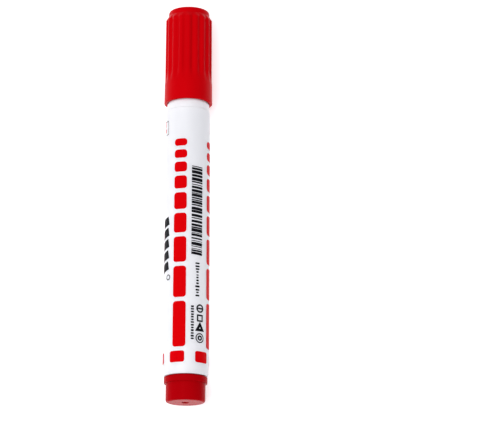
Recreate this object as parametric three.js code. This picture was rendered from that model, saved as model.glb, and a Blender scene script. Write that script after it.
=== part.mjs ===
// A round whiteboard marker with its cap on, lying on its side.
// Millimetres, +Z up. The marker's axis runs along +Y, with its plugged tail at -Y and its tip at +Y.
// The origin is on the surface that the marker lies on, under the middle of its length.
// Every piece is turned about the axis, so each has an outline of (radius, distance from the tail face).

import * as THREE from 'three';

// Gaps
const seatGap = 0.3;              // between two faces that seat on each other, and at the cap's mouth
const slipGap = 0.15;             // around a piece that slides into another

// Tail plug
const plugHeadLength = 6.3;
const plugFlangeLength = 2.1;
const plugFlangeStep = 0.15;      // the flange stands this far inside the end of the barrel
const plugHeadStep = 0.65;        // the head stands this far inside the flange
const plugEdgeRound = 0.9;
const plugFaceThickness = 3.0;
const plugWall = 1.1;
const plugSpigotLength = 8.5;
const dimpleRadius = 1.2;
const dimpleDepth = 1.8;

// Barrel and its nose
const barrelLength = 95.3;        // from its open end to the shoulder that the cap seats on
const barrelRadius = 7.8;
const barrelWall = 1.15;
const barrelTaper = 0.3;          // radius lost from the tail to the neck
const barrelEndRound = 0.3;       // the open end draws in by this much
const barrelEndRoundLength = 4.3;
const neckStep = 0.25;            // the neck, behind the cap's rim, is this much thinner
const neckLength = 2.5;
const shoulderRound = 0.2;
const seatStep = 0.45;            // the cap's seat lies this far below the neck
const seatLength = 0.8;
const noseWall = 1.1;
const noseConeDrop = 0.95;
const noseConeLength = 3.0;
const noseLandDraft = 0.2;
const noseLandLength = 2.0;
const flareLength = 6.6;
const sleeveRootWall = 1.025;
const sleeveTipWall = 0.55;
const sleeveLength = 6.7;
const boreNarrowing = 4.0;        // length over which the bore narrows ahead of the shoulder
const noseCavityRun = 1.1;        // the cavity reaches this far past the land before it meets the nib

// Nib and ink reservoir
const nibRadius = 2.1;
const nibProjection = 6.7;        // ahead of the sleeve
const nibOgiveLength = 5.3;
const nibOgiveFullness = 0.45;    // share of its radius and length that the bullet's curve holds on to
const nibShankInReservoir = 7.0;
const nibTailTaper = 1.0;
const filmThickness = 0.4;
const reservoirEndRoom = 1.2;     // between the plug and the reservoir

// Cap
const capLength = 33.9;
const capRimWall = 1.2;
const capWall = 0.95;
const capRimRound = 0.2;
const collarLength = 6.8;
const collarDraft = 0.1;
const ribDraft = 0.12;            // radius lost along the ribs
const mouthDepth = 4.7;           // depth of the wide part of the mouth
const mouthNarrowing = 2.0;
const fluteCount = 18;
const fluteDepth = 0.5;
const fluteRunOut = 1.2;
const crownStep = 1.0;            // the crown stands this far inside the ribs
const ribBevelLength = 1.6;
const crownWallLength = 0.9;
const crownBevelLength = 1.1;
const crownFaceRadius = 5.9;
const discRadius = 3.2;
const discHeight = 0.3;
const crownThickness = 1.3;
const collarFlats = 36;

// Inner cap
const linerWall = 0.8;

// Facets around each piece
const roundFacets = 30;
const halfFacet = Math.PI / roundFacets;
const nibFacets = 24;
const facetsPerFlute = 4;
const fluteTurn = Math.PI / fluteCount;    // a rib is straight up
const flatAngle = 2 * Math.PI / collarFlats;
const curveSteps = 5;

// Stations along the marker, from the tail face
const plugFlangeStart = plugHeadLength;
const barrelStart = plugFlangeStart + plugFlangeLength + seatGap;
const shoulder = barrelStart + barrelLength;
const noseConeStart = shoulder + seatLength;
const noseLandStart = noseConeStart + noseConeLength;
const flareStart = noseLandStart + noseLandLength;
const sleeveStart = flareStart + flareLength;
const sleeveEnd = sleeveStart + sleeveLength;
const nibTip = sleeveEnd + nibProjection;
const capRim = shoulder + seatGap;
const overallLength = capRim + capLength;

// Radii that follow from the fits
const boreRadius = barrelRadius - barrelWall;
const barrelEndRadius = barrelRadius - barrelEndRound;
const bodyEndRadius = barrelRadius - barrelTaper;
const neckRadius = bodyEndRadius - neckStep;
const seatRadius = neckRadius - seatStep;
const noseRadius = seatRadius - noseConeDrop;
const flareRadius = noseRadius - noseLandDraft;
const nibBoreRadius = nibRadius + slipGap;
const sleeveRootRadius = nibBoreRadius + sleeveRootWall;
const sleeveTipRadius = nibBoreRadius + sleeveTipWall;
const mouthRadius = seatRadius + seatGap;
const rimRadius = mouthRadius + capRimWall;
const collarRadius = rimRadius - collarDraft;
const ribTopRadius = collarRadius - ribDraft;
const crownRadius = ribTopRadius - crownStep;
const ceilingRadius = crownRadius - capWall;
const restHeight = rimRadius * Math.cos(flatAngle / 2);    // of the axis, with the rim's flat on the surface

// Lengths that follow from the fits
const spigotEnd = plugFlangeStart + plugFlangeLength + plugSpigotLength;
const reservoirStart = spigotEnd + reservoirEndRoom;
const boreEnd = shoulder - boreNarrowing - seatLength;
const reservoirEnd = boreEnd - seatGap;
const nibTail = reservoirEnd - nibShankInReservoir;
const collarTop = capRim + collarLength;
const crownTop = overallLength - discHeight;
const crownBevelStart = crownTop - crownBevelLength;
const ribBevelEnd = crownBevelStart - crownWallLength;
const ribBevelStart = ribBevelEnd - ribBevelLength;
const ceiling = crownTop - crownThickness;
const ceilingBevelStart = ceiling - (crownBevelLength - crownThickness / 2);

// An outline turned about the marker's axis. It starts and ends on the axis, or closes on itself.
// A start of half a facet puts a facet straight down.
function turned(name, outline, facets, start, colour, roughness) {
  const geometry = new THREE.LatheGeometry(outline.getPoints(curveSteps), facets, start);
  const material = new THREE.MeshStandardMaterial({ color: colour, roughness, metalness: 0 });
  const mesh = new THREE.Mesh(geometry, material);
  mesh.name = name;
  return mesh;
}

function outlineFrom(radius, station) {
  const outline = new THREE.Path();
  outline.moveTo(radius, station);
  return outline;
}

// A plug pressed into the open end of the barrel: a head, a flange that stops it, and a hollow spigot.
function makeEndPlug() {
  const flangeRadius = barrelEndRadius - plugFlangeStep;
  const headRadius = flangeRadius - plugHeadStep;
  const spigotRadius = boreRadius - slipGap;
  const cavityRadius = spigotRadius - plugWall;
  const spigotLead = slipGap * 2;
  const outline = outlineFrom(0, dimpleDepth);
  outline.lineTo(dimpleRadius, dimpleDepth);
  outline.lineTo(dimpleRadius, 0);
  outline.lineTo(headRadius - plugEdgeRound, 0);
  outline.quadraticCurveTo(headRadius, 0, headRadius, plugEdgeRound);
  outline.lineTo(headRadius, plugFlangeStart);
  outline.lineTo(flangeRadius, plugFlangeStart);
  outline.lineTo(flangeRadius, plugFlangeStart + plugFlangeLength);
  outline.lineTo(spigotRadius, plugFlangeStart + plugFlangeLength);
  outline.lineTo(spigotRadius, spigotEnd - spigotLead);
  outline.lineTo(spigotRadius - spigotLead, spigotEnd);
  outline.lineTo(cavityRadius, spigotEnd);
  outline.lineTo(cavityRadius, plugFaceThickness);
  outline.lineTo(0, plugFaceThickness);
  return turned('end_plug', outline, roundFacets, halfFacet, 0xc80014, 0.35);
}

// The nose's S-shaped flare, from the land to the root of the sleeve.
function flareRadiusAt(share) {
  return sleeveRootRadius + (flareRadius - sleeveRootRadius) * (1 + Math.cos(Math.PI * share)) / 2;
}

// One moulding: a tube with a drawn-in end, a neck and seat for the cap, and a nose that sleeves the nib.
function makeBarrel() {
  const outline = outlineFrom(barrelEndRadius, barrelStart);
  outline.quadraticCurveTo(barrelRadius, barrelStart, barrelRadius, barrelStart + barrelEndRoundLength);
  outline.lineTo(bodyEndRadius, shoulder - neckLength - neckStep);
  outline.lineTo(neckRadius, shoulder - neckLength);
  outline.lineTo(neckRadius, shoulder - shoulderRound);
  outline.lineTo(neckRadius - shoulderRound, shoulder);
  outline.lineTo(seatRadius, shoulder);
  outline.lineTo(seatRadius, noseConeStart);
  outline.lineTo(noseRadius, noseLandStart);
  for (let step = 0; step <= curveSteps; step += 1) {
    const share = step / curveSteps;
    outline.lineTo(flareRadiusAt(share), flareStart + flareLength * share);
  }
  outline.lineTo(sleeveTipRadius, sleeveEnd);
  outline.lineTo(nibBoreRadius, sleeveEnd);
  outline.lineTo(nibBoreRadius, flareStart + noseCavityRun);
  outline.lineTo(noseRadius - noseWall, noseLandStart);
  outline.lineTo(seatRadius - noseWall, boreEnd + boreNarrowing);
  outline.lineTo(boreRadius, boreEnd);
  outline.lineTo(boreRadius, barrelStart);
  outline.lineTo(barrelEndRadius, barrelStart);
  return turned('barrel', outline, roundFacets, halfFacet, 0xf4f4f7, 0.35);
}

// A bullet-shaped fibre nib on a long shank that reaches back into the reservoir.
function makeNib() {
  const ogiveStart = nibTip - nibOgiveLength;
  const shoulderHeight = ogiveStart + nibOgiveLength * nibOgiveFullness;
  const outline = outlineFrom(0, nibTail);
  outline.lineTo(nibRadius / 2, nibTail);
  outline.lineTo(nibRadius, nibTail + nibTailTaper);
  outline.lineTo(nibRadius, ogiveStart);
  outline.bezierCurveTo(nibRadius, shoulderHeight, nibRadius * nibOgiveFullness, nibTip, 0, nibTip);
  return turned('nib', outline, nibFacets, 0, 0xb4141e, 0.9);
}

// The ink core: a fibre rod with a socket in its front end for the nib's shank.
function makeReservoirFibre() {
  const fibreRadius = boreRadius - seatGap - filmThickness - slipGap;
  const outline = outlineFrom(0, reservoirStart);
  outline.lineTo(fibreRadius, reservoirStart);
  outline.lineTo(fibreRadius, reservoirEnd);
  outline.lineTo(nibBoreRadius, reservoirEnd);
  outline.lineTo(nibBoreRadius, nibTail - seatGap);
  outline.lineTo(0, nibTail - seatGap);
  return turned('reservoir_fibre', outline, roundFacets, halfFacet, 0xc23b3f, 0.95);
}

// The film sleeve that the ink core is wrapped in.
function makeReservoirFilm() {
  const filmRadius = boreRadius - seatGap;
  const outline = outlineFrom(filmRadius, reservoirStart);
  outline.lineTo(filmRadius, reservoirEnd);
  outline.lineTo(filmRadius - filmThickness, reservoirEnd);
  outline.lineTo(filmRadius - filmThickness, reservoirStart);
  outline.lineTo(filmRadius, reservoirStart);
  return turned('reservoir_film', outline, roundFacets, halfFacet, 0xe6e2dc, 0.2);
}

// Moves every vertex towards the axis by the factor that its radius, station and angle give.
function reshape(geometry, shrinkAt) {
  const position = geometry.attributes.position;
  for (let index = 0; index < position.count; index += 1) {
    const x = position.getX(index);
    const z = position.getZ(index);
    const shrink = shrinkAt(Math.hypot(x, z), position.getY(index), Math.atan2(x, z));
    position.setX(index, x * shrink);
    position.setZ(index, z * shrink);
  }
}

// The collar is a fine polygon with a flat straight down, so that the marker lies still.
function collarShrink(radius, station, angle) {
  const inside = radius < (mouthRadius + rimRadius) / 2;
  if (station > collarTop || inside) return 1;
  const offFlat = angle - Math.round(angle / flatAngle) * flatAngle;
  return Math.cos(flatAngle / 2) / Math.cos(offFlat);
}

// Flutes run along the outside of the cap, from the collar to the crown.
function fluteShrink(radius, station, angle) {
  if (station <= collarTop || radius <= crownRadius) return 1;
  const floor = Math.max(crownRadius, radius - fluteDepth);
  const groove = ((1 + Math.cos((angle - fluteTurn) * fluteCount)) / 2) ** 2;
  return (radius - (radius - floor) * groove) / radius;
}

// The cap: a plain collar at its mouth, fluted sides, and a stepped crown with a small raised disc.
function makeCapShell() {
  const ribRootRadius = collarRadius - ribDraft / curveSteps;
  const wideRadius = ribRootRadius - fluteDepth - capWall;
  const outline = outlineFrom(0, ceiling);
  outline.lineTo(crownFaceRadius - capWall, ceiling);
  outline.lineTo(ceilingRadius, ceilingBevelStart);
  outline.lineTo(wideRadius, capRim + mouthDepth + mouthNarrowing);
  outline.lineTo(mouthRadius, capRim + mouthDepth);
  outline.lineTo(mouthRadius, capRim);
  outline.lineTo(rimRadius - capRimRound, capRim);
  outline.lineTo(rimRadius, capRim + capRimRound);
  outline.lineTo(collarRadius, collarTop);
  outline.lineTo(ribRootRadius, collarTop + fluteRunOut);
  outline.lineTo(ribTopRadius, ribBevelStart);
  outline.lineTo(crownRadius, ribBevelEnd);
  outline.lineTo(crownRadius, crownBevelStart);
  outline.quadraticCurveTo(crownRadius, crownTop, crownFaceRadius, crownTop);
  outline.lineTo(discRadius, crownTop);
  outline.lineTo(discRadius, overallLength);
  outline.lineTo(0, overallLength);
  const shell = turned('cap_shell', outline, fluteCount * facetsPerFlute, 0, 0xd8000f, 0.3);
  reshape(shell.geometry, collarShrink);
  reshape(shell.geometry, fluteShrink);
  return shell;
}

// A soft inner cup, pressed into the crown. Its mouth closes on the nose's flare, or at the flare's end
// where the cup is too narrow or too wide to meet it, so that the nib can't dry out.
function makeCapLiner() {
  const outsideRadius = ceilingRadius - seatGap;
  const cupRadius = outsideRadius - linerWall;
  const flareRise = (cupRadius - seatGap - sleeveRootRadius) / (flareRadius - sleeveRootRadius);
  const flareShare = Math.acos(2 * THREE.MathUtils.clamp(flareRise, 0, 1) - 1) / Math.PI;
  const mouth = flareStart + flareLength * flareShare;
  const top = ceiling - seatGap;
  const outline = outlineFrom(0, top - linerWall);
  outline.lineTo(crownFaceRadius - capWall - linerWall, top - linerWall);
  outline.lineTo(cupRadius, ceilingBevelStart - seatGap - linerWall);
  outline.lineTo(cupRadius, mouth);
  outline.lineTo(outsideRadius, mouth);
  outline.lineTo(outsideRadius, ceilingBevelStart - seatGap);
  outline.lineTo(crownFaceRadius - capWall - seatGap, top);
  outline.lineTo(0, top);
  return turned('cap_liner', outline, roundFacets, halfFacet, 0xece8e0, 0.6);
}

const marker = new THREE.Group();
marker.add(makeEndPlug(), makeBarrel(), makeNib(), makeReservoirFibre(), makeReservoirFilm());
marker.add(makeCapShell(), makeCapLiner());
marker.position.set(0, -overallLength / 2, restHeight);

export default marker;
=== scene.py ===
import math

import bmesh
import bpy
from bpy.props import FloatProperty, FloatVectorProperty, IntProperty, PointerProperty
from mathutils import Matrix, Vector


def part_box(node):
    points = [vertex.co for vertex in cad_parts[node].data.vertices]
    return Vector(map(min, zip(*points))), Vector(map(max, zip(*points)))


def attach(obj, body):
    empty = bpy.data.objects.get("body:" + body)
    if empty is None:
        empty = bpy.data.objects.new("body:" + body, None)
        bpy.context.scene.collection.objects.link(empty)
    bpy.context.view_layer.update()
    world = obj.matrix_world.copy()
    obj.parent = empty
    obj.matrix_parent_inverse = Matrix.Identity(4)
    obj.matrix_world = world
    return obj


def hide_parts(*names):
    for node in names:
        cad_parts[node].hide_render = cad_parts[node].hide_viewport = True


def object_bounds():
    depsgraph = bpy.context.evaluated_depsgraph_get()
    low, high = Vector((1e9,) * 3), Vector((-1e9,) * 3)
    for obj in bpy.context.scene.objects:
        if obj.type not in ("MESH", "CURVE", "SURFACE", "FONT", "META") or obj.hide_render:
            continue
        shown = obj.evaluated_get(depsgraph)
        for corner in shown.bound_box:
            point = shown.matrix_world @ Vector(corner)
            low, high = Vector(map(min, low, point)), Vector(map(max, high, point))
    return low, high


bl_info = {
    "name": "Whiteboard Marker",
    "version": (1, 0, 0),
    "blender": (4, 5, 0),
    "location": "View3D > Sidebar > Board Marker",
    "description": "Builds the fine surfaces, print and finishes of a round whiteboard marker",
    "category": "Add Mesh",
}

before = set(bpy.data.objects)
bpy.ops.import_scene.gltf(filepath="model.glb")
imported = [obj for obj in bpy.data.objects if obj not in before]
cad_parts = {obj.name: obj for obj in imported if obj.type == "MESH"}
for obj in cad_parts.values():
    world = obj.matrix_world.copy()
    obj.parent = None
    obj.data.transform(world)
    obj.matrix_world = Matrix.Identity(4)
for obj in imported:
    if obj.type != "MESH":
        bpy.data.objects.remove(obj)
cad_low, cad_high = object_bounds()

MM = 0.001

# Where the marker's parts are, in metres. The axis runs along +Y, from the tail plug to the crown of the cap.
plug_low, plug_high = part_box("end_plug")
barrel_low, barrel_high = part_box("barrel")
nib_low, nib_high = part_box("nib")
cap_low, cap_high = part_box("cap_shell")

AXIS_HEIGHT = (cap_low.z + cap_high.z) / 2
TAIL = plug_low.y
BARREL_START = barrel_low.y
SLEEVE_END = barrel_high.y
CAP_RIM = cap_low.y
CAP_TOP = cap_high.y
SEAT_GAP = 0.3 * MM
SHOULDER = CAP_RIM - SEAT_GAP

AROUND = 144                  # facets around a fine turned piece
EASE_STEPS = 6                # facets around an eased corner
GUARD = 0.08 * MM             # an eased corner's shading reaches this far into the faces beside it
ON_AXIS = 1e-7                # a ring with a smaller radius is one point on the axis
SHARP = math.radians(32)      # edges that fold by more than this are shaded sharp
FACETS_PER_FLUTE = 14
FILM_WELD = 0.0004 * MM       # points of an ink film that are closer than this become one
BAND_STEP = 0.35              # millimetres from point to point along a printed band
WHITE = (1.0, 1.0, 1.0, 1.0)
RED_SHINE = (1.0, 0.10, 0.08, 1.0)    # tint of the red surfaces' reflections head on
PATCH_FIELDS = ("Width", "Height", "Corner", "Lean")

# Turns of the marks from straight up, in degrees.
SYMBOL_TURN = 38
STRIP_TURN = -69
STRIP_RING_TURN = -52
PICTURE_TURNS = (97, 276)


# ---- sizes and colours

def length(name, description, millimetres):
    return FloatProperty(name=name, description=description, default=millimetres * MM,
                         min=0.0, unit="LENGTH", precision=5)


def angle(name, description, degrees):
    return FloatProperty(name=name, description=description, default=math.radians(degrees),
                         unit="ROTATION")


def colour(name, description, red, green, blue):
    return FloatVectorProperty(name=name, description=description, default=(red, green, blue),
                               subtype="COLOR", min=0.0, max=1.0)


class BarrelSizes(bpy.types.PropertyGroup):
    radius: length("Radius", "Outside radius of the barrel near its tail", 7.8)
    taper: length("Taper", "Radius that the barrel loses on its way to the neck", 0.3)
    wall: length("Wall", "Thickness of the barrel's wall", 1.15)
    tail_draw: length("Tail draw-in", "How far the open end draws in", 0.3)
    tail_draw_length: length("Tail draw-in length", "Length of the drawn-in end", 4.3)
    neck_step: length("Neck step", "How far the neck lies under the body", 0.25)
    neck_length: length("Neck length", "Length of the neck behind the cap", 2.5)
    seat_step: length("Seat step", "How far the cap's seat lies under the neck", 0.45)
    seat_length: length("Seat length", "Length of the cap's seat", 0.8)
    cone_drop: length("Cone drop", "Radius lost along the nose's cone", 0.95)
    cone_length: length("Cone length", "Length of the nose's cone", 3.0)
    land_draft: length("Land draft", "Radius lost along the nose's land", 0.2)
    land_length: length("Land length", "Length of the nose's land", 2.0)
    sleeve_root: length("Sleeve root radius", "Radius where the flare meets the sleeve", 3.275)
    sleeve_tip: length("Sleeve tip radius", "Radius of the sleeve at its mouth", 2.8)
    sleeve_length: length("Sleeve length", "Length of the sleeve that holds the nib", 6.7)
    nib_bore: length("Nib bore radius", "Radius of the bore that holds the nib", 2.25)


class PlugSizes(bpy.types.PropertyGroup):
    head_radius: length("Head radius", "Radius of the plug's head", 6.7)
    head_length: length("Head length", "Length of the plug's head", 6.3)
    head_ease: length("Edge round", "Rounding of the head's edge", 0.95)
    flange_radius: length("Flange radius", "Radius of the flange that stops the plug", 7.35)
    flange_length: length("Flange length", "Length of the flange", 2.1)
    spigot_radius: length("Spigot radius", "Radius of the spigot inside the barrel", 6.5)
    spigot_wall: length("Spigot wall", "Thickness of the spigot's wall", 1.1)
    face_thickness: length("Face thickness", "Thickness of the plug's end", 3.0)
    dimple_radius: length("Dimple radius", "Radius of the moulding dimple in the end", 1.2)
    dimple_depth: length("Dimple depth", "Depth of the moulding dimple", 1.8)


class CapSizes(bpy.types.PropertyGroup):
    flute_count: IntProperty(name="Flutes", description="Flutes around the cap", default=18, min=6)
    flute_depth: length("Flute depth", "Depth of the flutes", 0.55)
    flute_turn: angle("Flute turn", "Turn of the first flute from straight up", 11)
    flute_sharpness: FloatProperty(name="Flute sharpness", default=1.3, min=0.5, max=8.0,
                                   description="How narrow the flutes are beside the ribs")
    run_out: length("Run-out", "Length over which a flute rises to the collar", 5.0)
    fade: length("Fade", "Length over which a flute fades towards the crown", 2.4)
    collar_length: length("Collar length", "Length of the plain collar", 6.8)
    collar_draft: length("Collar draft", "Radius lost along the collar", 0.1)
    rib_draft: length("Rib draft", "Radius lost along the ribs", 0.12)
    crown_step: length("Crown step", "How far the crown lies under the ribs", 1.0)
    bevel_length: length("Rib bevel", "Length of the bevel at the ribs' ends", 1.6)
    crown_wall: length("Crown wall", "Length of the crown's straight wall", 0.9)
    crown_bevel: length("Crown bevel", "Length of the crown's rounded bevel", 1.1)
    face_radius: length("Crown face radius", "Radius of the crown's flat face", 5.9)
    disc_radius: length("Disc radius", "Radius of the raised disc on the crown", 3.2)
    disc_height: length("Disc height", "Height of the raised disc", 0.3)
    mouth_radius: length("Mouth radius", "Inside radius of the cap's mouth", 7.1)
    mouth_depth: length("Mouth depth", "Depth of the wide part of the mouth", 4.7)
    wall: length("Wall", "Thickness of the cap's wall", 0.95)
    top_thickness: length("Top thickness", "Thickness of the crown's face", 1.3)


class NibSizes(bpy.types.PropertyGroup):
    radius: length("Radius", "Radius of the fibre nib", 2.1)
    bullet_length: length("Bullet length", "Length of the nib's rounded tip", 5.3)
    fullness: FloatProperty(name="Fullness", default=0.45, min=0.1, max=0.9,
                            description="Share of its radius and length that the bullet's curve holds on to")


class PrintSizes(bpy.types.PropertyGroup):
    ink_lift: length("Ink lift", "Height of the ink's underside over the barrel", 0.012)
    ink_thickness: length("Ink thickness", "Thickness of the printed ink", 0.018)
    block_turn: angle("Block column", "Turn of the first column of blocks from straight up", -17)
    block_spread: angle("Column spacing", "Angle from one column of blocks to the next", 95.5)
    block_width: angle("Block width", "Width of a block around the barrel", 34)
    block_start: length("First block", "Where the first block starts, from the tail", 90.0)
    block_gap: length("Block gap", "Gap between two blocks", 1.41)
    block_ease: length("Block corner", "Corner radius of the blocks", 1.05)
    tail_turn: angle("Tail row", "Turn of the tail row's middle block", -22)
    tail_spread: angle("Tail block spacing", "Angle from one tail block to the next", 66.5)
    tail_width: angle("Tail block width", "Width of a tail block around the barrel", 39)
    bar_turn: angle("Bar panel", "Turn of the panel of fine bars", 28)
    bar_height: length("Bar height", "Length of the bars around the barrel", 4.1)
    bar_count: IntProperty(name="Bars", description="Bars in the panel", default=32, min=4)


class Finishes(bpy.types.PropertyGroup):
    cap: colour("Cap", "Red plastic of the cap", 0.57, 0.001, 0.006)
    plug: colour("Plug", "Red plastic of the tail plug", 0.42, 0.001, 0.006)
    barrel: colour("Barrel", "White plastic of the barrel", 0.93, 0.93, 0.985)
    red_ink: colour("Red ink", "Printed red ink", 0.66, 0.001, 0.005)
    dark_ink: colour("Dark ink", "Printed dark ink", 0.012, 0.012, 0.016)
    nib: colour("Nib", "Inked fibre of the nib", 0.62, 0.006, 0.014)


class StageSizes(bpy.types.PropertyGroup):
    lens: FloatProperty(name="Lens", description="Focal length of the camera", default=167.0,
                        min=10.0, unit="CAMERA")
    tilt: angle("Tilt", "Tilt of the camera from straight down, towards the cap", 14.5)
    height: length("Height", "Height of the camera over the marker's axis", 770.0)
    back: length("Back", "How far the camera is behind the tail", 134.2)
    side: length("Side", "How far the camera is to the marker's right", 22.3)
    roll: angle("Roll", "Turn of the camera about the vertical", 0.15)
    room_light: FloatProperty(name="Room light", default=0.42, min=0.0,
                              description="Strength of the even light from the room")
    floor_glow: FloatProperty(name="Floor glow", default=0.45, min=0.0,
                              description="Light that the pale floor gives off, as a lit sweep does")


SETTINGS = {
    "marker_barrel": BarrelSizes,
    "marker_plug": PlugSizes,
    "marker_cap": CapSizes,
    "marker_nib": NibSizes,
    "marker_print": PrintSizes,
    "marker_finishes": Finishes,
    "marker_stage": StageSizes,
}


# ---- node trees

class Number:
    """A value in a node tree. Its sums, products and so on are maths nodes."""

    def __init__(self, socket):
        self.socket = socket

    def __add__(self, other):
        return maths("ADD", self, other)

    def __sub__(self, other):
        return maths("SUBTRACT", self, other)

    def __rsub__(self, other):
        return maths("SUBTRACT", other, self)

    def __mul__(self, other):
        return maths("MULTIPLY", self, other)

    def __truediv__(self, other):
        return maths("DIVIDE", self, other)

    def __rtruediv__(self, other):
        return maths("DIVIDE", other, self)


def feed(value, socket):
    """Links a value to a socket, or sets the socket to it where it is a constant."""
    value = value.socket if isinstance(value, Number) else value
    if isinstance(value, bpy.types.NodeSocket):
        socket.id_data.links.new(value, socket)
    else:
        socket.default_value = value


def feed_all(node, inputs):
    """Feeds a node's inputs, each by its name or number."""
    for key, value in inputs.items():
        feed(value, node.inputs[key])


def add(tree, kind, inputs=None, **settings):
    """Adds a node and feeds its inputs."""
    node = tree.nodes.new(kind)
    for name, value in settings.items():
        setattr(node, name, value)
    feed_all(node, inputs or {})
    return node


def output_of(tree, kind, inputs=None, output=0, **settings):
    """Adds a node and returns one of its outputs."""
    return Number(add(tree, kind, inputs, **settings).outputs[output])


def maths(operation, *values):
    """A maths node, in the tree of the first value that isn't a constant."""
    tree = next(value.socket.id_data for value in values if isinstance(value, Number))
    return output_of(tree, "ShaderNodeMath", dict(enumerate(values)), operation=operation)


def ramp(tree, value, start, end, low=0.0, high=1.0, **settings):
    """Takes a value from low at start to high at end."""
    return output_of(tree, "ShaderNodeMapRange", {
        "Value": value, "From Min": start, "From Max": end, "To Min": low, "To Max": high}, **settings)


def parts(tree, vector=None):
    """The x, y and z of a vector, or of each point's place."""
    if vector is None:
        vector = output_of(tree, "GeometryNodeInputPosition")
    return [Number(output) for output in add(tree, "ShaderNodeSeparateXYZ", {0: vector}).outputs]


def moved(tree, geometry, **place):
    """Moves each point of a geometry to the place that X, Y and Z say."""
    position = output_of(tree, "ShaderNodeCombineXYZ", place)
    return output_of(tree, "GeometryNodeSetPosition", {"Geometry": geometry, "Position": position})


def real_and_dressed(tree, geometry, material, socket):
    """Ends a geometry tree: makes instances real, sets the material and feeds the tree's result."""
    real = output_of(tree, "GeometryNodeRealizeInstances", {"Geometry": geometry})
    feed(output_of(tree, "GeometryNodeSetMaterial", {"Geometry": real, "Material": material}), socket)


def new_tree(name, kind, inputs, outputs):
    """An empty node group. inputs and outputs map a socket's name to (type, default) or a type."""
    tree = bpy.data.node_groups.new(name, kind)
    for direction, sockets in (("INPUT", inputs), ("OUTPUT", outputs)):
        for socket_name, form in sockets.items():
            form, default = form if isinstance(form, tuple) else (form, None)
            socket = tree.interface.new_socket(socket_name, in_out=direction,
                                               socket_type="NodeSocket" + form)
            if default is not None:
                socket.default_value = default
    given = {name: Number(socket) for name, socket in tree.nodes.new("NodeGroupInput").outputs.items()}
    return tree, given, tree.nodes.new("NodeGroupOutput").inputs


def tree_named(name, maker):
    return bpy.data.node_groups.get(name) or maker()


def run_tree(piece, tree, values):
    """Runs a geometry tree on a piece and keeps the result as its plain mesh."""
    modifier = piece.modifiers.new(tree.name, "NODES")
    modifier.node_group = tree
    for item in tree.interface.items_tree:
        if item.in_out == "INPUT" and item.name in values:
            modifier[item.identifier] = values[item.name]
    graph = bpy.context.evaluated_depsgraph_get()
    graph.update()
    made = bpy.data.meshes.new_from_object(piece.evaluated_get(graph), depsgraph=graph)
    piece.modifiers.clear()
    piece.data = made
    made.name = piece.name
    for name in [a.name for a in made.attributes if a.name.startswith("patch_")]:
        made.attributes.remove(made.attributes[name])
    return piece


# ---- turned pieces

def bend(start, hold, end, steps):
    """Points of a curve from start to end that leaves and arrives in the direction of hold."""
    start, hold, end = Vector(start), Vector(hold), Vector(end)
    shares = [step / steps for step in range(steps + 1)]
    return [start * (1 - share) ** 2 + hold * 2 * share * (1 - share) + end * share ** 2 for share in shares]


def between(start, end, steps):
    """Points inside a straight line, without its ends."""
    shares = [step / steps for step in range(1, steps)]
    return [tuple(a + (b - a) * share for a, b in zip(start, end)) for share in shares]


def eased(corners):
    """Points of an outline from (radius, y) or (radius, y, ease) corners. ease cuts and rounds the corner."""
    points = []
    for index, (radius, y, *ease) in enumerate(corners):
        here = Vector((radius, y))
        if not ease:
            points.append(here)
            continue
        before = Vector(corners[index - 1][:2]) - here
        after = Vector(corners[(index + 1) % len(corners)][:2]) - here
        reach = min(ease[0], 0.48 * before.length, 0.48 * after.length)
        start, end = here + before.normalized() * reach, here + after.normalized() * reach
        if before.length - reach > 2 * GUARD:
            points.append(start + before.normalized() * GUARD)
        points += bend(start, here, end, EASE_STEPS)
        if after.length - reach > 2 * GUARD:
            points.append(end + after.normalized() * GUARD)
    return points


def turned(name, points, around=AROUND):
    """A closed piece turned about the marker's axis from an outline of (radius, y) points."""
    mesh = bmesh.new()
    rings = []
    for radius, y in points:
        if radius < ON_AXIS:
            rings.append([mesh.verts.new((0, y, AXIS_HEIGHT))])
            continue
        rings.append([
            mesh.verts.new((radius * math.sin(turn), y, AXIS_HEIGHT + radius * math.cos(turn)))
            for turn in (math.tau * step / around for step in range(around))
        ])
    pairs = list(zip(rings, rings[1:]))
    if len(rings[0]) > 1:
        pairs.append((rings[-1], rings[0]))
    for ring, following in pairs:
        for step in range(around):
            ahead = (step + 1) % around
            corners = [ring[step % len(ring)], ring[ahead % len(ring)],
                       following[ahead % len(following)], following[step % len(following)]]
            corners = list(dict.fromkeys(corners))
            if len(corners) > 2:
                mesh.faces.new(corners)
    bmesh.ops.recalc_face_normals(mesh, faces=mesh.faces)
    return finished(name, mesh)


def finished(name, mesh):
    """An object at the origin from a bmesh, shaded smooth except along sharp edges."""
    for face in mesh.faces:
        face.smooth = True
    data = bpy.data.meshes.new(name)
    mesh.to_mesh(data)
    mesh.free()
    data.set_sharp_from_angle(angle=SHARP)
    return placed(name, data)


def placed(name, data):
    """A new object at the origin."""
    thing = bpy.data.objects.new(name, data)
    bpy.context.scene.collection.objects.link(thing)
    return thing


def dress(piece, material):
    piece.data.materials.clear()
    piece.data.materials.append(material)


# ---- finishes

def object_place(tree):
    return output_of(tree, "ShaderNodeTexCoord", output="Object")


def noise(tree, vector, scale, detail, roughness=0.5):
    return output_of(tree, "ShaderNodeTexNoise",
                     {"Vector": vector, "Scale": scale, "Detail": detail, "Roughness": roughness}, "Fac")


def cells(tree, vector, scale):
    return output_of(tree, "ShaderNodeTexVoronoi", {"Vector": vector, "Scale": scale}, "Distance")


def stretched(tree, vector, along, **turn):
    """Texture places for a pattern drawn out along the marker: the smaller along is, the longer it gets."""
    return output_of(tree, "ShaderNodeMapping", {"Vector": vector, "Scale": (1.0, along, 1.0), **turn})


def bump(tree, distance, height, **under):
    return output_of(tree, "ShaderNodeBump",
                     {"Strength": 1.0, "Distance": distance, "Height": height, **under})


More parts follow.
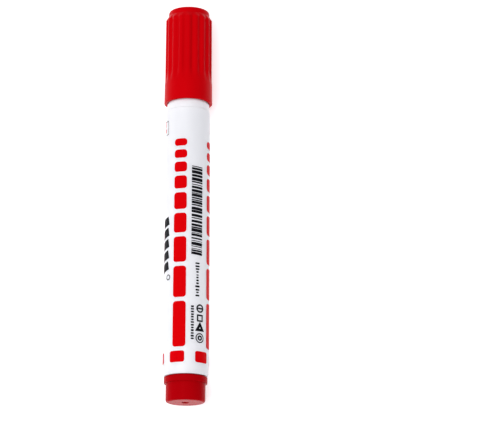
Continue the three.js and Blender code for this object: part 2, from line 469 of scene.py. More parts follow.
def moulded_skin_group():
    """Flow, grain and handling marks of a moulded plastic surface, whose flow lines run along the marker."""
    tree, given, result = new_tree(
        "Moulded skin", "ShaderNodeTree",
        {"Grain Size": ("Float", 0.25 * MM), "Flow Size": ("Float", 6.0 * MM),
         "Mark Size": ("Float", 0.5 * MM)},
        {"Flow": "Float", "Grain": "Float", "Marks": "Float"})
    place = object_place(tree)
    mark_place = stretched(tree, place, 0.05, Rotation=(0.3, 0.15, 0.5))
    feed(noise(tree, stretched(tree, place, 0.22), 1.0 / given["Flow Size"], 3.0, 0.55), result["Flow"])
    feed(noise(tree, place, 1.0 / given["Grain Size"], 2.0, 0.6), result["Grain"])
    marks = noise(tree, mark_place, 1.0 / given["Mark Size"], 4.0, 0.7)
    feed(ramp(tree, marks, 0.60, 0.72), result["Marks"])
    return tree


def blend_colours(tree, factor, first, second):
    """A mix of two colours. The numbers are those of the mix node's colour sockets."""
    return output_of(tree, "ShaderNodeMix", {0: factor, 6: first, 7: second}, 2, data_type="RGBA")


def shade_of(shade, by):
    return tuple(min(1.0, part * by) for part in shade) + (1.0,)


def new_material(name):
    material = bpy.data.materials.new(name)
    material.use_nodes = True
    tree = material.node_tree
    return material, tree, tree.nodes["Principled BSDF"]


def moulded_plastic(name, shade, roughness, specular, sizes=(0.3, 5, 0.5), depths=(0.002, 0.02),
                    variation=0.08, shine=WHITE, ior=1.5):
    """A moulded plastic. sizes are those of its grain, flow and marks, and depths the relief of its grain and
    flow, in millimetres. variation is the flow's share of the shade, and shine tints reflections head on."""
    material, tree, surface = new_material(name)
    skin = add(tree, "ShaderNodeGroup", node_tree=tree_named("Moulded skin", moulded_skin_group))
    feed_all(skin, dict(zip(("Grain Size", "Flow Size", "Mark Size"), (size * MM for size in sizes))))
    flow, grain, marks = (Number(skin.outputs[name]) for name in ("Flow", "Grain", "Marks"))
    base = blend_colours(tree, flow, shade_of(shade, 1 - variation), shade_of(shade, 1 + variation))
    flow_sway, mark_tint, mark_dulling = 0.12, 0.12, 0.10
    feed_all(surface, {
        "Base Color": blend_colours(tree, marks * mark_tint, base, shade_of(shade, 1.25)),
        "Roughness": flow * flow_sway + (roughness - flow_sway / 2) + marks * mark_dulling,
        "Normal": bump(tree, depths[1] * MM, flow, Normal=bump(tree, depths[0] * MM, grain)),
        "Specular IOR Level": specular, "Specular Tint": shine, "IOR": ior})
    return material


def fibre(name, shade, pale, thread, roughness):
    """Bundled fibres that run along the marker, with painted shade that darkens the gaps between them. thread
    is a fibre's thickness, and pale how much of the blotches shows."""
    material, tree, surface = new_material(name)
    place = object_place(tree)
    along = stretched(tree, place, 0.08)
    threads = noise(tree, along, 1.0 / thread, 3.0, 0.65)
    pores = cells(tree, along, 1.0 / thread)
    blotch = noise(tree, place, 0.25 / thread, 2.0)
    # painted shade: the colour darkens where the threads sink in the bump, in the gaps between the fibres
    base = blend_colours(tree, threads, shade_of(shade, 0.55), shade_of(shade, 1.2))
    feed_all(surface, {
        "Base Color": blend_colours(tree, blotch * pale, base, shade_of(shade, 1.6)),
        "Roughness": ramp(tree, pores, 0.0, 1.0, roughness - 0.12, roughness),
        "Normal": bump(tree, 0.35 * thread, threads + pores * 0.5),
        "Specular IOR Level": 0.2})
    return material


def printed_ink(name, shade, roughness, shine=WHITE):
    """Screen-printed ink: a thin film with a slight orange-peel, and the print screen's mesh in it."""
    material, tree, surface = new_material(name)
    place = object_place(tree)
    film = noise(tree, place, 1.0 / (1.2 * MM), 3.0)
    feed_all(surface, {
        "Base Color": blend_colours(tree, film, shade_of(shade, 0.93), shade_of(shade, 1.07)),
        "Roughness": film * 0.15 + (roughness - 0.07),
        "Normal": bump(tree, 0.002 * MM, cells(tree, place, 1.0 / (0.16 * MM))),
        "Specular IOR Level": 0.25, "Specular Tint": shine, "IOR": 1.25})
    return material


# ---- print

def wrap_group():
    """Geometry tree part: wraps flat artwork round the barrel and gives it an ink film's thickness.
    In the artwork x is the turn from straight up in radians, and y the place along the marker."""
    sizes = bpy.context.scene.marker_barrel
    ink = bpy.context.scene.marker_print
    tree, given, result = new_tree(
        "Wrap on barrel", "GeometryNodeTree",
        {"Artwork": "Geometry", "Tail Radius": ("Float", sizes.radius),
         "Neck Radius": ("Float", sizes.radius - sizes.taper),
         "Tail Y": ("Float", BARREL_START + sizes.tail_draw_length),
         "Neck Y": ("Float", SHOULDER - sizes.neck_length),
         "Axis Height": ("Float", AXIS_HEIGHT), "Ink Lift": ("Float", ink.ink_lift),
         "Ink Thickness": ("Float", ink.ink_thickness)},
        {"Film": "Geometry"})
    turn, y, _ = parts(tree)
    radius = ramp(tree, y, given["Tail Y"], given["Neck Y"], given["Tail Radius"], given["Neck Radius"])
    radius = radius + given["Ink Lift"]
    under = moved(tree, given["Artwork"], X=radius * maths("SINE", turn), Y=y,
                  Z=radius * maths("COSINE", turn) + given["Axis Height"])
    over = output_of(tree, "GeometryNodeExtrudeMesh", {
        "Mesh": under, "Offset Scale": given["Ink Thickness"], "Individual": False})
    both = add(tree, "GeometryNodeJoinGeometry")
    for side in (over, output_of(tree, "GeometryNodeFlipFaces", {"Mesh": under})):
        feed(side, both.inputs[0])
    feed(output_of(tree, "GeometryNodeMergeByDistance", {
        "Geometry": both.outputs[0], "Distance": FILM_WELD}), result["Film"])
    return tree


def patch_group():
    """Geometry tree part: lays a rounded patch on every point. Width is in radians round the barrel,
    and Height, Corner and Lean are along the marker."""
    sizes = bpy.context.scene.marker_barrel
    tree, given, result = new_tree(
        "Rounded patches", "GeometryNodeTree",
        {"Points": "Geometry", **{label: "Float" for label in PATCH_FIELDS},
         "Columns": ("Int", 17), "Barrel Radius": ("Float", sizes.radius)},
        {"Artwork": "Geometry"})
    grid = output_of(tree, "GeometryNodeMeshGrid", {
        "Size X": 2.0, "Size Y": 2.0, "Vertices X": given["Columns"], "Vertices Y": 2})
    spot = add(tree, "GeometryNodeCaptureAttribute")
    spot.capture_items.new("VECTOR", "Spot")
    feed_all(spot, {"Geometry": grid, "Spot": output_of(tree, "GeometryNodeInputPosition")})
    facts = add(tree, "GeometryNodeCaptureAttribute", {"Geometry": given["Points"]}, domain="POINT")
    facts.capture_items.new("VECTOR", "Centre")
    feed(output_of(tree, "GeometryNodeInputPosition"), facts.inputs["Centre"])
    for label in PATCH_FIELDS:
        facts.capture_items.new("FLOAT", label)
        feed(given[label], facts.inputs[label])
    laid = output_of(tree, "GeometryNodeInstanceOnPoints", {
        "Points": facts.outputs["Geometry"], "Instance": spot.outputs["Geometry"]})
    real = output_of(tree, "GeometryNodeRealizeInstances", {"Geometry": laid})
    local_x, local_y, _ = parts(tree, spot.outputs["Spot"])
    centre_x, centre_y, _ = parts(tree, facts.outputs["Centre"])
    width, height, ease, lean = (Number(facts.outputs[label]) for label in PATCH_FIELDS)
    half_width = width * 0.5 * given["Barrel Radius"]
    half_height = height * 0.5
    corner = maths("MINIMUM", ease, maths("MINIMUM", half_width, half_height))
    across = half_width * maths("SINE", local_x * (math.pi / 2))
    past = maths("MAXIMUM", maths("ABSOLUTE", across) - (half_width - corner), 0.0)
    past = maths("MINIMUM", past, corner)
    drop = corner - maths("SQRT", maths("MAXIMUM", corner * corner - past * past, 0.0))
    along = local_y * (half_height - drop) + across * lean
    feed(moved(tree, real, X=centre_x + across / given["Barrel Radius"], Y=centre_y + along),
         result["Artwork"])
    return tree


def finish_print(tree, artwork, material, result):
    """Wraps the artwork on the barrel, makes it real and gives it its ink."""
    film = output_of(tree, "GeometryNodeGroup", {"Artwork": artwork},
                     node_tree=tree_named("Wrap on barrel", wrap_group))
    real_and_dressed(tree, film, material, result["Print"])


def patches_on(tree, points, **fields):
    return output_of(tree, "GeometryNodeGroup", {"Points": points, **fields},
                     node_tree=tree_named("Rounded patches", patch_group))


def blocks_tree():
    """A rounded block on every point, sized by the points' own patch_ attributes."""
    tree, given, result = new_tree(
        "Printed blocks", "GeometryNodeTree",
        {"Points": "Geometry", "Columns": ("Int", 17), "Ink": "Material"}, {"Print": "Geometry"})
    fields = {
        label: output_of(tree, "GeometryNodeInputNamedAttribute", {"Name": "patch_" + label.lower()},
                         "Attribute", data_type="FLOAT")
        for label in PATCH_FIELDS}
    patches = patches_on(tree, given["Points"], Columns=given["Columns"], **fields)
    finish_print(tree, patches, given["Ink"], result)
    return tree


def row_tree():
    """A row of patches with random thickness, along the marker: fine bars, or a line of dashes."""
    tree, given, result = new_tree(
        "Printed row", "GeometryNodeTree",
        {"Start": "Geometry", "Count": ("Int", 10), "Turn": "Float", "From Y": "Float", "To Y": "Float",
         "Width": "Float", "Thinnest": ("Float", 0.4), "Fill": ("Float", 0.6), "Shortest": ("Float", 1.0),
         "Corner": "Float", "Lean": "Float", "Seed": "Int", "Columns": ("Int", 7), "Ink": "Material"},
        {"Print": "Geometry"})

    def random_share(least, draw):
        """A random number from least to 1. Sockets 2 and 3 are the node's limits, and output 1 its number."""
        return output_of(tree, "FunctionNodeRandomValue", {
            2: given[least], 3: 1.0, "Seed": given["Seed"] + draw}, 1, data_type="FLOAT")

    inked = random_share("Thinnest", 0.0) * given["Fill"]
    pitch = inked + random_share("Thinnest", 1.0) * (1.0 - given["Fill"])
    sums = add(tree, "GeometryNodeAccumulateField", {0: pitch}, data_type="FLOAT").outputs
    middle = Number(sums["Trailing"]) + inked * 0.5
    stretch = (given["To Y"] - given["From Y"]) / Number(sums["Total"])
    line = output_of(tree, "GeometryNodeMeshLine", {"Count": given["Count"]})
    points = moved(tree, line, X=given["Turn"], Y=given["From Y"] + middle * stretch)
    patches = patches_on(tree, points, Columns=given["Columns"], Corner=given["Corner"], Lean=given["Lean"],
                         Width=given["Width"] * random_share("Shortest", 2.0),
                         Height=maths("ABSOLUTE", inked * stretch))
    finish_print(tree, patches, given["Ink"], result)
    return tree


def artwork_tree():
    """Flat artwork, wrapped on the barrel as it is."""
    tree, given, result = new_tree("Printed artwork", "GeometryNodeTree",
                                   {"Artwork": "Geometry", "Ink": "Material"}, {"Print": "Geometry"})
    finish_print(tree, given["Artwork"], given["Ink"], result)
    return tree


def print_piece(name, tree, material, values, mesh=None):
    """A printed piece that rides on the barrel."""
    piece = placed(name, mesh or bpy.data.meshes.new(name))
    run_tree(piece, tree, {"Ink": material, **values})
    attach(piece, "barrel")
    return piece


def joined(name, parts):
    """One piece from several that were made apart."""
    mesh = bmesh.new()
    for part in parts:
        mesh.from_mesh(part.data)
    kept = parts[0]
    mesh.to_mesh(kept.data)
    mesh.free()
    for part in parts[1:]:
        bpy.data.objects.remove(part)
    kept.name = name
    kept.data.name = name
    return kept


def print_points(name, patches):
    """Points with patch_ attributes from (turn, y, width, height, corner, lean) rows."""
    mesh = bpy.data.meshes.new(name)
    mesh.from_pydata([(turn, y, 0.0) for turn, y, *_ in patches], [], [])
    for index, label in enumerate(PATCH_FIELDS):
        attribute = mesh.attributes.new("patch_" + label.lower(), "FLOAT", "POINT")
        attribute.data.foreach_set("value", [patch[index + 2] for patch in patches])
    return mesh


# ---- operators

class BOARDMARKER_OT_barrel(bpy.types.Operator):
    """Make the white barrel with its neck, seat, flared nose and sleeve"""
    bl_idname = "board_marker.barrel"
    bl_label = "Barrel"

    def execute(self, context):
        sizes = context.scene.marker_barrel
        neck = SHOULDER - sizes.neck_length
        body_end = sizes.radius - sizes.taper
        neck_radius = body_end - sizes.neck_step
        seat_radius = neck_radius - sizes.seat_step
        nose_radius = seat_radius - sizes.cone_drop
        flare_radius = nose_radius - sizes.land_draft
        cone_start = SHOULDER + sizes.seat_length
        land_start = cone_start + sizes.cone_length
        flare_start = land_start + sizes.land_length
        sleeve_start = SLEEVE_END - sizes.sleeve_length
        bore = sizes.radius - sizes.wall
        bore_end = SHOULDER - 4.8 * MM
        nose_wall = 1.1 * MM
        outside = [
            (sizes.radius - sizes.tail_draw, BARREL_START, 0.25 * MM),
            (sizes.radius, BARREL_START + sizes.tail_draw_length, 2.0 * MM),
            (body_end, neck - 0.25 * MM, 0.12 * MM),
            (neck_radius, neck, 0.12 * MM),
            (neck_radius, SHOULDER, 0.2 * MM),
            (seat_radius, SHOULDER, 0.1 * MM),
            (seat_radius, cone_start, 0.3 * MM),
            (nose_radius, land_start, 0.5 * MM),
        ]
        flare_steps = 18
        for step in range(flare_steps + 1):
            share = step / flare_steps
            fall = (1 + math.cos(math.pi * share)) / 2
            radius = sizes.sleeve_root + (flare_radius - sizes.sleeve_root) * fall
            outside.append((radius, flare_start + (sleeve_start - flare_start) * share))
        inside = [
            (sizes.sleeve_tip, SLEEVE_END, 0.15 * MM),
            (sizes.nib_bore, SLEEVE_END, 0.08 * MM),
            (sizes.nib_bore, flare_start + nose_wall),
            (nose_radius - nose_wall, land_start),
            (seat_radius - nose_wall, SHOULDER - 0.8 * MM),
            (bore, bore_end),
            (bore, BARREL_START, 0.15 * MM),
        ]
        barrel = turned("barrel_tube", eased(outside + inside))
        plastic = moulded_plastic(
            "White barrel plastic", context.scene.marker_finishes.barrel, roughness=0.34, specular=0.35,
            sizes=(0.3, 9, 0.6), depths=(0.0012, 0.02), variation=0.02)
        feed_all(plastic.node_tree.nodes["Principled BSDF"], {
            "Subsurface Weight": 0.45, "Subsurface Radius": (1.0, 1.0, 1.0), "Subsurface Scale": 4.0 * MM})
        dress(barrel, plastic)
        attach(barrel, "barrel")
        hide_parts("barrel")
        return {"FINISHED"}


class BOARDMARKER_OT_tail_plug(bpy.types.Operator):
    """Make the red plug in the barrel's tail, with its flange, spigot and moulding dimple"""
    bl_idname = "board_marker.tail_plug"
    bl_label = "Tail plug"

    def execute(self, context):
        sizes = context.scene.marker_plug
        flange_start = TAIL + sizes.head_length
        flange_end = flange_start + sizes.flange_length
        spigot_end = plug_high.y
        cavity = sizes.spigot_radius - sizes.spigot_wall
        outline = [
            (0.0, TAIL + sizes.dimple_depth),
            (sizes.dimple_radius, TAIL + sizes.dimple_depth, 0.25 * MM),
            (sizes.dimple_radius, TAIL, 0.18 * MM),
            (sizes.head_radius, TAIL, sizes.head_ease),
            (sizes.head_radius, flange_start, 0.12 * MM),
            (sizes.flange_radius, flange_start, 0.25 * MM),
            (sizes.flange_radius, flange_end, 0.15 * MM),
            (sizes.spigot_radius, flange_end, 0.1 * MM),
            (sizes.spigot_radius, spigot_end, 0.3 * MM),
            (cavity, spigot_end, 0.1 * MM),
            (cavity, TAIL + sizes.face_thickness, 0.3 * MM),
            (0.0, TAIL + sizes.face_thickness),
        ]
        plug = turned("tail_plug", eased(outline))
        dress(plug, moulded_plastic(
            "Red plug plastic", context.scene.marker_finishes.plug, roughness=0.24, specular=0.22,
            shine=RED_SHINE, ior=1.2))
        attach(plug, "barrel")
        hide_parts("end_plug")
        return {"FINISHED"}


class BOARDMARKER_OT_nib(bpy.types.Operator):
    """Make the bullet-shaped fibre nib"""
    bl_idname = "board_marker.nib"
    bl_label = "Nib"

    def execute(self, context):
        sizes = context.scene.marker_nib
        tip, bullet = nib_high.y, nib_high.y - sizes.bullet_length
        hold = Vector((sizes.radius, bullet + sizes.bullet_length * sizes.fullness))
        lead = Vector((sizes.radius * sizes.fullness, tip))
        start, end = Vector((sizes.radius, bullet)), Vector((0.0, tip))
        points = eased([(0.0, nib_low.y), (sizes.radius / 2, nib_low.y, 0.15 * MM),
                        (sizes.radius, nib_low.y + 1.0 * MM, 0.3 * MM), tuple(start)])
        steps = 24
        for step in range(1, steps + 1):
            share = step / steps
            rest = 1 - share
            points.append(start * rest ** 3 + hold * 3 * share * rest ** 2
                          + lead * 3 * share * share * rest + end * share ** 3)
        nib = turned("fibre_nib", points, around=72)
        dress(nib, fibre("Inked nib fibre", context.scene.marker_finishes.nib, pale=0.35,
                         thread=0.12 * MM, roughness=0.85))
        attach(nib, "barrel")
        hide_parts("nib")
        return {"FINISHED"}


def flutes_tree():
    """Presses flutes into the outside of a turned cap, between its collar and its crown."""
    tree, given, result = new_tree(
        "Cap flutes", "GeometryNodeTree",
        {"Cap": "Geometry", "Flute Count": ("Int", 18), "Flute Depth": "Float", "Flute Turn": "Float",
         "Sharpness": "Float", "Start Y": "Float", "Run-out": "Float", "End Y": "Float", "Fade": "Float",
         "Crown Radius": "Float", "Axis Height": "Float", "Plastic": "Material"},
        {"Fluted Cap": "Geometry"})
    x, y, z = parts(tree)
    up = z - given["Axis Height"]
    radius = maths("SQRT", x * x + up * up)
    turn = maths("ARCTAN2", x, up) - given["Flute Turn"]
    wave = maths("COSINE", turn * given["Flute Count"])
    groove = maths("POWER", (wave + 1.0) * 0.5, given["Sharpness"])
    smooth = {"interpolation_type": "SMOOTHSTEP"}
    rise = ramp(tree, y, given["Start Y"], given["Start Y"] + given["Run-out"], **smooth)
    fall = ramp(tree, y, given["End Y"] - given["Fade"], given["End Y"], 1.0, 0.0, **smooth)
    depth = groove * given["Flute Depth"] * (rise * fall)
    outside = maths("GREATER_THAN", radius, given["Crown Radius"])
    depth = maths("MINIMUM", depth, radius - given["Crown Radius"]) * outside
    share = (radius - depth) / maths("MAXIMUM", radius, 1e-6)
    pressed = moved(tree, given["Cap"], X=x * share, Y=y, Z=up * share + given["Axis Height"])
    real_and_dressed(tree, pressed, given["Plastic"], result["Fluted Cap"])
    return tree


class BOARDMARKER_OT_cap(bpy.types.Operator):
    """Make the red cap with its plain collar, fluted sides and stepped crown"""
    bl_idname = "board_marker.cap"
    bl_label = "Cap"

    def execute(self, context):
        sizes = context.scene.marker_cap
        rim = (cap_high.z - cap_low.z) / 2
        collar = rim - sizes.collar_draft
        rib_root = collar - 0.04 * MM
        rib_top = collar - sizes.rib_draft
        crown = rib_top - sizes.crown_step
        face = CAP_TOP - sizes.disc_height
        crown_start = face - sizes.crown_bevel
        bevel_end = crown_start - sizes.crown_wall
        bevel_start = bevel_end - sizes.bevel_length
        collar_top = CAP_RIM + sizes.collar_length
        ceiling = face - sizes.top_thickness
        ceiling_radius = crown - sizes.wall
        rib_wall = 1.5 * MM
        narrowing = 2.0 * MM
        rib_rows, bevel_rows, arc_rows = 26, 5, 9
        outline = [
            (0.0, ceiling),
            (sizes.face_radius - sizes.wall, ceiling),
            (ceiling_radius, ceiling - sizes.crown_bevel + sizes.top_thickness / 2),
            (rib_root - rib_wall, CAP_RIM + sizes.mouth_depth + narrowing),
            (sizes.mouth_radius, CAP_RIM + sizes.mouth_depth, 0.4 * MM),
            (sizes.mouth_radius, CAP_RIM, 0.2 * MM),
            (rim, CAP_RIM, 0.22 * MM),
            (collar, collar_top, 0.3 * MM),
            *between((rib_root, collar_top), (rib_top, bevel_start), rib_rows),
            (rib_top, bevel_start, 0.35 * MM),
            *between((rib_top, bevel_start), (crown, bevel_end), bevel_rows),
            (crown, bevel_end, 0.25 * MM),
            (crown, crown_start, 0.4 * MM),
            *bend((crown, crown_start), (crown, face), (sizes.face_radius, face), arc_rows)[1:-1],
            (sizes.face_radius, face, 0.3 * MM),
            (sizes.disc_radius, face, 0.12 * MM),
            (sizes.disc_radius, CAP_TOP, 0.2 * MM),
            (0.0, CAP_TOP),
        ]
        plastic = moulded_plastic(
            "Red cap plastic", context.scene.marker_finishes.cap, roughness=0.36, specular=0.32,
            sizes=(0.25, 5, 0.5), shine=RED_SHINE, ior=1.25)
        cap = turned("fluted_cap", eased(outline), around=sizes.flute_count * FACETS_PER_FLUTE)
        run_tree(cap, flutes_tree(), {
            "Flute Count": sizes.flute_count, "Flute Depth": sizes.flute_depth,
            "Flute Turn": sizes.flute_turn, "Sharpness": sizes.flute_sharpness,
            "Start Y": collar_top, "Run-out": sizes.run_out,
            "End Y": bevel_end, "Fade": sizes.fade, "Crown Radius": crown, "Axis Height": AXIS_HEIGHT,
            "Plastic": plastic})
        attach(cap, "cap")
        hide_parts("cap_shell")
        return {"FINISHED"}


class BOARDMARKER_OT_inner_finishes(bpy.types.Operator):
    """Dress the inner cap, the ink reservoir's fibre and its film"""
    bl_idname = "board_marker.inner_finishes"
    bl_label = "Inner finishes"

    def execute(self, context):
        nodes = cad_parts
        shade = context.scene.marker_finishes.nib
        dress(nodes["cap_liner"], moulded_plastic(
            "Milky liner plastic", (0.80, 0.77, 0.72), roughness=0.45, specular=0.4,
            sizes=(0.3, 4, 0.5), variation=0.05))
        dress(nodes["reservoir_fibre"], fibre(
            "Inked reservoir fibre", shade, pale=0.6, thread=0.2 * MM, roughness=0.95))
        dress(nodes["reservoir_film"], moulded_plastic(
            "Clear reservoir film", (0.78, 0.72, 0.70), roughness=0.2, specular=0.5,
            sizes=(0.5, 3, 0.8), depths=(0.004, 0.05), variation=0.05))
        return {"FINISHED"}


class BOARDMARKER_OT_blocks(bpy.types.Operator):
    """Print four columns of red blocks that grow towards the tail, and a row of blocks round the tail"""
    bl_idname = "board_marker.blocks"
    bl_label = "Printed blocks"

    def execute(self, context):
        sizes = context.scene.marker_print
        red = printed_ink("Red ink", context.scene.marker_finishes.red_ink, 0.38, RED_SHINE)
        lengths = [2.5, 2.9, 3.5, 4.5, 5.8, 6.8, 8.8, 10.7, 15.5]
        tail_height, tail_ease = 3.8 * MM, 0.7 * MM
        # Each picture of the nib is two plain blocks: middle (mm), width (degrees), height and corner (mm).
        picture_blocks = ((96.6, 12, 2.6, 0.75), (94.2, 19, 1.5, 0.35))
        patches = []
        for column in (-1, 0, 1, 2):
            turn = sizes.block_turn + column * sizes.block_spread
            end = TAIL + sizes.block_start
            for block in lengths:
                size = block * MM
                patches.append((turn, end - size / 2, sizes.block_width, size, sizes.block_ease, 0.0))
                end -= size + sizes.block_gap
        for block in (-1, 0, 1, 2, 3):
            turn = sizes.tail_turn + block * sizes.tail_spread
            patches.append((turn, end - tail_height / 2, sizes.tail_width, tail_height, tail_ease, 0.0))
        for turn in PICTURE_TURNS:
            for middle, width, height, ease in picture_blocks:
                patches.append((math.radians(turn), TAIL + middle * MM, math.radians(width), height * MM,
                                ease * MM, 0.0))
        print_piece("print_blocks", tree_named("Printed blocks", blocks_tree), red, {"Columns": 21},
                    print_points("print_blocks", patches))
        return {"FINISHED"}


class BOARDMARKER_OT_fine_print(bpy.types.Operator):
    """Print the panel of fine bars and the lines of dashes that stand for small print"""
    bl_idname = "board_marker.fine_print"
    bl_label = "Fine print"

    def execute(self, context):
        sizes = context.scene.marker_print
        radius = context.scene.marker_barrel.radius
        dark = printed_ink("Dark ink", context.scene.marker_finishes.dark_ink, 0.42)
        tree = tree_named("Printed row", row_tree)

        def row(name, turn, start, end, height, **values):
            """A line of dashes: its turn in degrees, its start, end and height in millimetres."""
            return print_piece(name, tree, dark, {
                "Turn": math.radians(turn), "From Y": TAIL + start * MM, "To Y": TAIL + end * MM,
                "Width": height * MM / radius, **values})

        print_piece("print_bars", tree, dark, {
            "Turn": sizes.bar_turn, "From Y": TAIL + 49.3 * MM, "To Y": TAIL + 80.7 * MM,
            "Width": sizes.bar_height / radius, "Count": sizes.bar_count, "Thinnest": 0.15, "Fill": 0.66,
            "Lean": -0.08, "Seed": 7, "Columns": 9})
        small = {"Thinnest": 0.4, "Fill": 0.66, "Shortest": 0.7, "Corner": 0.08 * MM, "Columns": 5}
        joined("print_dashes", [
            row("line_a", 30.0, 35.0, 47.2, 1.7, Count=12, Thinnest=0.6, Fill=0.5, Shortest=0.5,
                Corner=0.2 * MM, Seed=11),
            row("line_b", 17.0, 20.2, 32.0, 1.1, Count=13, Thinnest=0.7, Fill=0.62, Shortest=0.8,
                Corner=0.12 * MM, Seed=23),
            row("line_c", 113.0, 40.0, 88.0, 0.55, Count=64, Seed=31, **small),
            row("line_d", 123.0, 55.0, 88.0, 0.55, Count=44, Seed=41, **small),
        ])
        return {"FINISHED"}


class BOARDMARKER_OT_artwork(bpy.types.Operator):
    """Print the plain marks: rings and bars, the bold strip, and the small pictures of the nib"""
    bl_idname = "board_marker.artwork"
    bl_label = "Plain marks"

    def execute(self, context):
        radius = context.scene.marker_barrel.radius
        dark = printed_ink("Dark mark ink", context.scene.marker_finishes.dark_ink, 0.42)
        marks = bmesh.new()

        def at(turn, s, u, v):
            """The place u across and v along from a mark's middle, which is at turn degrees and s."""
            return (math.radians(turn) + u * MM / radius, TAIL + (s + v) * MM, 0.0)

        def band(turn, s, path, width, closed=True):
            """A flat band of constant width along a path of (u, v) points in millimetres."""
            corners = [Vector(p) for p in path]
            if closed:
                corners.append(corners[0])
            path = []
            for here, following in zip(corners, corners[1:]):
                steps = max(1, math.ceil((following - here).length / BAND_STEP))
                path += [here.lerp(following, step / steps) for step in range(steps)]
            if not closed:
                path.append(corners[-1])
            count = len(path)
            inner, outer = [], []
            for index, point in enumerate(path):
                behind = path[index - 1] if closed or index else 2 * point - path[1]
                ahead = path[(index + 1) % count] if closed or index + 1 < count else 2 * point - path[-2]
                arriving, leaving = (point - behind).normalized(), (ahead - point).normalized()
                run = (arriving + leaving).normalized()
                side = Vector((-run.y, run.x)) * width / 2 / max(0.4, run.dot(arriving))
                inner.append(marks.verts.new(at(turn, s, *(point + side))))
                outer.append(marks.verts.new(at(turn, s, *(point - side))))
            for index in range(count if closed else count - 1):
                ahead = (index + 1) % count
                marks.faces.new((inner[index], outer[index], outer[ahead], inner[ahead]))

        def ring(turn, s, size, width, sides=28, start=0.0):
            turns = (start + math.tau * side / sides for side in range(sides))
            band(turn, s, [(size * math.cos(a), size * math.sin(a)) for a in turns], width)

        def bar(turn, s, u, v, along, across):
            band(turn, s, [(u - across / 2, v), (u + across / 2, v)], along, closed=False)

        ring(SYMBOL_TURN, 30.9, 1.2, 0.5)
        bar(SYMBOL_TURN, 30.9, 0.0, 0.0, 0.5, 2.0)
        ring(SYMBOL_TURN, 27.6, 1.35, 0.5, sides=4, start=math.pi / 4)
        ring(SYMBOL_TURN, 24.2, 1.3, 0.85, sides=3, start=math.pi / 2)
        ring(SYMBOL_TURN, 20.8, 1.5, 0.34)
        ring(SYMBOL_TURN, 20.8, 0.65, 0.5)
        for place in (61.2, 57.3, 53.4, 49.5, 45.6):
            band(STRIP_TURN, place, [(-2.35, -0.5), (2.35, 0.5)], 2.9, closed=False)
        ring(STRIP_RING_TURN, 41.9, 0.85, 0.3, sides=20)
        for turn in PICTURE_TURNS:
            for v in (-2.6, 2.2):
                bar(turn, 95.0, 2.2, v, 0.18, 2.4)
            bar(turn, 95.0, 3.2, -0.2, 4.6, 0.18)
        bmesh.ops.recalc_face_normals(marks, faces=marks.faces)
        for face in marks.faces:
            if face.normal.z < 0:
                face.normal_flip()
        mesh = bpy.data.meshes.new("print_marks")
        marks.to_mesh(mesh)
        marks.free()
        print_piece("print_marks", tree_named("Printed artwork", artwork_tree), dark, {}, mesh)
        return {"FINISHED"}


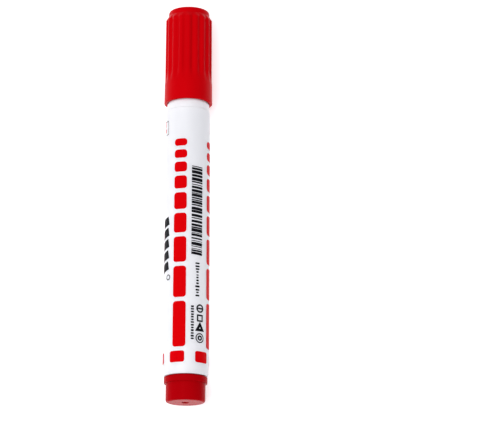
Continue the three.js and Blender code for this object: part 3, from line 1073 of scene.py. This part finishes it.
class BOARDMARKER_OT_stage(bpy.types.Operator):
    """Set up the pale floor, the soft lights and the camera"""
    bl_idname = "board_marker.stage"
    bl_label = "Stage"

    def execute(self, context):
        sizes = context.scene.marker_stage
        half = 3.0
        corners = [(-half, -half, 0), (half, -half, 0), (half, half, 0), (-half, half, 0)]
        mesh = bpy.data.meshes.new("floor")
        mesh.from_pydata(corners, [], [(0, 1, 2, 3)])
        floor = placed("floor", mesh)
        paper, tree, surface = new_material("Pale floor")
        tone = noise(tree, object_place(tree), 2.0, 2.0)
        feed_all(surface, {
            "Base Color": blend_colours(tree, tone, (0.70, 0.70, 0.71, 1.0), (0.73, 0.73, 0.73, 1.0)),
            "Roughness": 0.9, "Specular IOR Level": 0.1, "Emission Color": WHITE,
            "Emission Strength": sizes.floor_glow})
        dress(floor, paper)

        middle = Vector((0.0, (cad_low.y + cad_high.y) / 2, AXIS_HEIGHT))

        def soft_light(name, offset, size, power):
            light = bpy.data.lights.new(name, "AREA")
            light.shape = "RECTANGLE"
            light.size, light.size_y = size
            light.energy = power
            lamp = placed(name, light)
            lamp.location = middle + Vector(offset)
            lamp.rotation_euler = (-Vector(offset)).to_track_quat("-Z", "Y").to_euler()

        soft_light("overhead_softbox", (-0.28, -0.20, 1.05), (0.75, 0.9), 7.3)
        soft_light("left_strip", (-1.0, 0.28, 0.46), (0.16, 1.0), 0.25)
        soft_light("crown_light", (-0.45, 1.10, 0.50), (0.5, 0.3), 0.9)
        soft_light("right_fill", (0.95, -0.35, 0.55), (0.6, 0.9), 0.05)

        world = bpy.data.worlds.new("studio")
        world.use_nodes = True
        feed_all(world.node_tree.nodes["Background"], {
            "Color": (0.96, 0.97, 1.0, 1.0), "Strength": sizes.room_light})
        context.scene.world = world
        context.scene.view_settings.view_transform = "Standard"
        context.scene.view_settings.look = "Medium High Contrast"

        lens = bpy.data.cameras.new("camera")
        lens.lens = sizes.lens
        lens.clip_end = 10.0
        camera = placed("camera", lens)
        camera.location = (sizes.side, TAIL - sizes.back, AXIS_HEIGHT + sizes.height)
        camera.rotation_euler = (sizes.tilt, 0.0, sizes.roll)
        context.scene.camera = camera
        return {"FINISHED"}


class BOARDMARKER_PT_panel(bpy.types.Panel):
    """The steps that make the marker, in order"""
    bl_label = "Board Marker"
    bl_space_type = "VIEW_3D"
    bl_region_type = "UI"
    bl_category = "Board Marker"

    def draw(self, context):
        for operator in OPERATORS:
            self.layout.operator(operator.bl_idname)
        for name, settings in SETTINGS.items():
            box = self.layout.box()
            box.label(text=settings.__name__)
            for key in settings.__annotations__:
                box.prop(getattr(context.scene, name), key)


OPERATORS = (
    BOARDMARKER_OT_barrel,
    BOARDMARKER_OT_tail_plug,
    BOARDMARKER_OT_nib,
    BOARDMARKER_OT_cap,
    BOARDMARKER_OT_inner_finishes,
    BOARDMARKER_OT_blocks,
    BOARDMARKER_OT_fine_print,
    BOARDMARKER_OT_artwork,
    BOARDMARKER_OT_stage,
)


def register():
    for settings in SETTINGS.values():
        bpy.utils.register_class(settings)
    for name, settings in SETTINGS.items():
        setattr(bpy.types.Scene, name, PointerProperty(type=settings))
    for item in (*OPERATORS, BOARDMARKER_PT_panel):
        bpy.utils.register_class(item)


def unregister():
    for item in (BOARDMARKER_PT_panel, *reversed(OPERATORS)):
        bpy.utils.unregister_class(item)
    for name, settings in SETTINGS.items():
        delattr(bpy.types.Scene, name)
        bpy.utils.unregister_class(settings)


def main():
    register()
    for operator in OPERATORS:
        group, name = operator.bl_idname.split(".")
        getattr(getattr(bpy.ops, group), name)()


if __name__ == "__main__":
    main()
